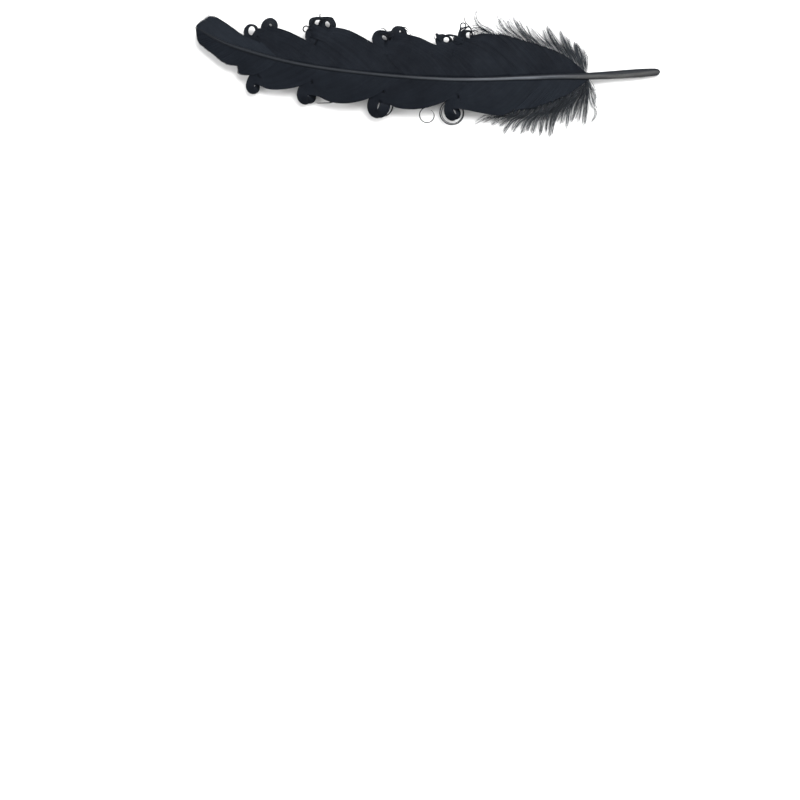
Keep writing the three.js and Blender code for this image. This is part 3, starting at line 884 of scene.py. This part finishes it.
trailingWisps = [
    (62.4, [(62.9, -2.0), (64.7, -4.9), (66.0, -8.4)], 4, 1.2, 0.35),
    (62.3, [(63.2, -3.0), (64.9, -6.7), (65.6, -10.3)], 4, 1.0, 0.4),
    (62.1, [(63.0, -3.8), (64.1, -9.4), (65.7, -12.8), (65.7, -14.7), (64.2, -17.2)], 6, 1.8, 0.45),
    (61.9, [(61.9, -4.5), (61.8, -9.0), (61.7, -13.0), (61.0, -18.4)], 8, 1.9, 0.85),
    (61.5, [(61.8, -4.5), (60.4, -9.4), (59.0, -17.0)], 7, 1.8, 0.6),
    (61.0, [(60.7, -5.3), (59.0, -10.2), (57.0, -16.2)], 6, 1.8, 0.65),
    (60.4, [(59.7, -6.1), (57.1, -11.4), (56.0, -17.6)], 6, 1.6, 0.7),
    (59.6, [(58.3, -6.5), (55.5, -11.7), (54.3, -19.5)], 7, 2.0, 0.7),
    (59.1, [(57.4, -6.9), (53.9, -12.1), (52.3, -17.6)], 6, 2.0, 0.9),
    (58.6, [(56.6, -7.3), (52.4, -12.5), (50.4, -17.0)], 6, 2.4, 0.9),
    (57.3, [(54.6, -8.4), (50.1, -13.7), (47.9, -22.4)], 11, 2.2, 1.0),
    (55.5, [(52.7, -9.6), (47.7, -14.5), (46.3, -20.9)], 8, 2.2, 1.0),
    (53.6, [(50.4, -10.8), (45.4, -15.2), (43.8, -22.1)], 8, 2.0, 1.0),
    (51.3, [(48.0, -11.9), (43.1, -15.6), (41.0, -21.3)], 8, 2.0, 0.95),
    (49.0, [(45.7, -12.7), (40.7, -16.4), (38.9, -20.7)], 7, 2.2, 0.9),
    (46.8, [(43.4, -13.1), (38.8, -16.4), (36.7, -21.5)], 8, 2.0, 0.95),
    (44.3, [(41.0, -13.5), (35.7, -17.2), (33.4, -20.7)], 8, 2.2, 0.9),
    (42.0, [(38.7, -13.9), (33.3, -16.8), (29.7, -21.5)], 8, 2.0, 1.0),
    (39.3, [(36.0, -14.3), (31.4, -16.4), (28.5, -18.5)], 7, 2.2, 0.9),
    (37.6, [(34.2, -14.2), (29.0, -15.8), (25.2, -18.2)], 6, 2.2, 0.85),
    (36.2, [(32.9, -14.2), (27.0, -15.0), (21.8, -17.0)], 6, 2.2, 0.75),
    (32.7, [(29.0, -14.3), (22.8, -15.2), (18.6, -17.6)], 5, 2.4, 0.45),
]

down = {
    "points": 14,  # along a barb
    "crowd": 1.5,  # barbs made for each one told of
    "scatter": (0.15, 0.18, 0.4),  # unevenness of a barb's place in its wisp, of its way and of its root
    "lengths": (0.87, 1.11),  # of a barb's outer half, as shares of its wisp's
    "shorterAside": 0.25,  # how much shorter the barbs at a wisp's sides are
    "bunching": 0.8,  # breadth of a wisp at its end, as a share of its breadth at the vane
    "leading": {
        "starts": (-0.18, 0.05),  # where the barbules begin, from the vane's edge, in shares of the barb
        "near": 0.9,  # brightness beside the vane, as a share of that at the end
    },
    "trailing": {"starts": (-0.3, -0.05), "near": 0.75},
    "brightens": (-0.1, 0.4),  # where it changes, from the vane's edge
    "darkest": 0.1,
    "rootDepth": 0.4,  # how far out in the shaft barbs start, in its radii
    "underVane": 0.9,
    "layers": 0.6,  # how far barbs lie above and below each other
    "lowest": 0.6,
    "endHeights": (1.3, 2.3),
    "stem": 0.032,
    "stemEnd": 0.25,  # the stem's thickness at the end, as a share
    "stemThinsFrom": 0.2,
    "spacing": 0.066,
    "barbule": 2.0,
    "barbuleEnd": 0.55,  # length of the barbules at a barb's end, as a share
    "shortenFrom": 0.6,
    "barbuleGauge": 0.02,
    "stoutness": (1.4, 0.8),  # times that gauge, at the inner half of a barb and at its end
    "stoutTo": 0.45,
    "lengthSpread": (0.5, 1.2),
    "lean": 9.0,  # degrees between a barbule and its barb
    "leanSpread": (0.3, 1.7),
}


def downTree():
    # a thin stem along each line, with barbules: fine spikes that lean out all round it
    tree, given = newTree("down", "Strands", {
        "Stem": down["stem"] * mm, "Spacing": down["spacing"] * mm, "Barbule": down["barbule"] * mm,
        "Gauge": down["barbuleGauge"] * mm, "Lean": math.radians(down["lean"]), "Seed": 1,
    })
    line = output(tree, "GeometryNodeMeshToCurve", {0: given["Strands"]})
    share = readValue(tree, "share")
    thin = remap(tree, share, down["stemThinsFrom"], 1.0, 1.0, down["stemEnd"])
    ring = output(tree, "GeometryNodeCurvePrimitiveCircle", {"Resolution": 3, "Radius": 1.0})
    stems = output(tree, "GeometryNodeCurveToMesh", {
        "Curve": line, "Profile Curve": ring, "Scale": times(tree, thin, given["Stem"]), "Fill Caps": True,
    })
    sockets = {"Curve": line, "Length": given["Spacing"]}
    places = addNode(tree, "GeometryNodeCurveToPoints", sockets, mode="LENGTH").outputs
    index = output(tree, "GeometryNodeInputIndex")
    spike = addNode(tree, "GeometryNodeMeshCone", {
        "Vertices": 3, "Radius Top": 0.0, "Radius Bottom": 1.0, "Depth": 1.0,
    }).outputs["Mesh"]
    roll = randomFor(tree, 0.0, math.tau, index, given["Seed"])
    tilt = times(tree, given["Lean"], randomFor(tree, *down["leanSpread"], index, 5))
    turn = places["Rotation"]
    for angle, axis in ((roll, 2), (tilt, 1)):
        own = output(tree, "FunctionNodeEulerToRotation", {0: vector(tree, {axis: angle})})
        turn = output(tree, "FunctionNodeRotateRotation", {0: turn, 1: own}, rotation_space="LOCAL")
    shorter = remap(tree, share, down["shortenFrom"], 1.0, 1.0, down["barbuleEnd"])
    length = times(tree, shorter, given["Barbule"], randomFor(tree, *down["lengthSpread"], index, 9))
    stout = times(tree, remap(tree, share, down["stoutTo"], 1.0, *down["stoutness"]), given["Gauge"])
    keep = calc(tree, "GREATER_THAN", readValue(tree, "fullness"), randomFor(tree, 0.0, 1.0, index, 13))
    spikes = output(tree, "GeometryNodeInstanceOnPoints", {
        "Points": places[0], "Selection": keep, "Instance": spike, "Rotation": turn,
        "Scale": vector(tree, {0: stout, 1: stout, 2: length}),
    })
    joined = addNode(tree, "GeometryNodeJoinGeometry")
    tree.links.new(spikes, joined.inputs[0])
    tree.links.new(stems, joined.inputs[0])
    whole = output(tree, "GeometryNodeRealizeInstances", {"Geometry": joined.outputs[0]})
    # nothing reaches below the surface that the feather lies on
    x, y, z = parted(tree, position(tree))
    above = vector(tree, {0: x, 1: y, 2: calc(tree, "MAXIMUM", z, floorGap * mm)})
    whole = output(tree, "GeometryNodeSetPosition", {"Geometry": whole, "Position": above})
    finishTree(tree, whole, given["Material"])
    return tree


def downBarbs(wisps, side, kind, seed):
    # the lines that the down's stems follow
    rng = np.random.default_rng(seed)
    lines, values = [], {"tone": [], "share": [], "fullness": []}
    aside, stray, rootStray = down["scatter"]
    for root, way, count, breadth, fullness in wisps:
        way = np.array(way)
        along = unit(way[-1] - way[0])
        across = np.array([-along[1], along[0]])
        spread = np.linspace(1.0, down["bunching"], len(way))[:, None]
        count = round(count * down["crowd"])
        for number in range(count):
            offset = (2 * (number + 0.5) / count - 1) * breadth / 2 + rng.normal(0, aside)
            own = way + across * offset * spread + rng.normal(0, stray, way.shape)
            length = rng.uniform(*down["lengths"]) - down["shorterAside"] * abs(offset) / breadth
            own[-1] = own[-2] + (own[-1] - own[-2]) * length
            leaves = root + rng.normal(0, rootStray)
            centreY, centreZ, radius = shaftAt(leaves)
            rootOut = down["rootDepth"] * radius
            plan = smoothLine([(leaves, centreY + side * rootOut), *own], down["points"])
            run = runAlong(plan)
            share = run / run[-1]
            edge = share[np.argmin(np.linalg.norm(plan - own[0], axis=1))]
            edgeZ = vaneHeight(*own[0], side) - down["underVane"]
            endZ = rng.uniform(*down["endHeights"])
            height = np.interp(share, [0, edge, 1], [centreZ - rootOut, edgeZ, endZ])
            height += rng.uniform(-1, 1) * down["layers"] * ease(0, edge, share)
            lines.append(np.column_stack([plan, np.maximum(height, down["lowest"])]))
            brighter = ease(*(edge + at for at in down["brightens"]), share)
            paler = kind["near"] + (1 - kind["near"]) * brighter
            values["tone"].append(rng.uniform(down["darkest"], 1) * paler)
            values["share"].append(share)
            values["fullness"].append(fullness * ease(*(edge + at for at in kind["starts"]), share))
    return lineGuide(lines, values)


def makeDown(name, wisps, side, kind, seed):
    mesh = grow(downBarbs(wisps, side, kind, seed), downGrower, {"Seed": seed, "Material": downPaint})
    return joinMeshes(name, [mesh], downPaint)


downGrower = downTree()
leadingTuft = makeDown("leading_plumes", leadingWisps, 1, down["leading"], 21)
trailingTuft = makeDown("trailing_plumes", trailingWisps, -1, down["trailing"], 22)
print("down made:", len(leadingTuft.data.polygons), "and", len(trailingTuft.data.polygons), "faces")

# what each piece stands for
for piece, node, slot in (
    (quill, "quill_shaft", "quill"),
    (leadingVane, "leading_vane", "vane"),
    (trailingVane, "trailing_vane", "vane"),
    (leadingTuft, "leading_down", "down"),
    (trailingTuft, "trailing_down", "down"),
):
    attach(piece, "root")
    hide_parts(node)


studio = {
    "floorSize": 6.0,
    "floor": {"colour": (0.78, 0.78, 0.78), "roughness": 0.9, "specular": 0.1},
    "air": 0.62,
    "key": {"place": (0.16, 0.30, 0.62), "size": 0.5, "watts": 9.0},
    "left": {"place": (-0.75, -0.05, 0.5), "size": 0.6, "watts": 5.0},
    "right": {"place": (0.8, -0.1, 0.5), "size": 0.6, "watts": 5.0},
    "viewCentre": (-10.6, -125.8),  # under the middle of the view, in the drawing's millimetres
    "viewWidth": 309.6,
    "viewPlane": 6.0,  # height at which the view is that wide
    "lens": 70.0,
    "sensor": 36.0,
}


def makeFloor():
    bpy.ops.mesh.primitive_plane_add(size=studio["floorSize"])
    floor = bpy.context.object
    floor.name = "floor"
    material, nodes, shader = newMaterial("pale_floor", studio["floor"])
    shader.inputs["Base Color"].default_value = (*studio["floor"]["colour"], 1)
    shader.inputs["Roughness"].default_value = studio["floor"]["roughness"]
    floor.data.materials.append(material)


def makeLight(name):
    told = studio[name]
    light = bpy.data.lights.new(name, "AREA")
    light.size = told["size"]
    light.energy = told["watts"]
    lamp = bpy.data.objects.new(name, light)
    lamp.location = told["place"]
    lamp.rotation_euler = (-lamp.location).to_track_quat("-Z", "Y").to_euler()
    bpy.context.scene.collection.objects.link(lamp)


def makeCamera():
    camera = bpy.data.cameras.new("camera")
    camera.lens = studio["lens"]
    camera.sensor_width = studio["sensor"]
    holder = bpy.data.objects.new("camera", camera)
    x, y = toFrame([studio["viewCentre"]])[0]
    away = studio["viewWidth"] * studio["lens"] / studio["sensor"]
    holder.location = (x, y, (studio["viewPlane"] + away) * mm)
    bpy.context.scene.collection.objects.link(holder)
    bpy.context.scene.camera = holder


def makeAir():
    # even light from all round
    world = bpy.data.worlds.new("air")
    world.use_nodes = True
    colour, strength = world.node_tree.nodes["Background"].inputs[:2]
    colour.default_value = (1, 1, 1, 1)
    strength.default_value = studio["air"]
    bpy.context.scene.world = world


makeFloor()
for name in ("key", "left", "right"):
    makeLight(name)
makeCamera()
makeAir()
bpy.context.scene.view_settings.view_transform = "Standard"
print("studio ready")
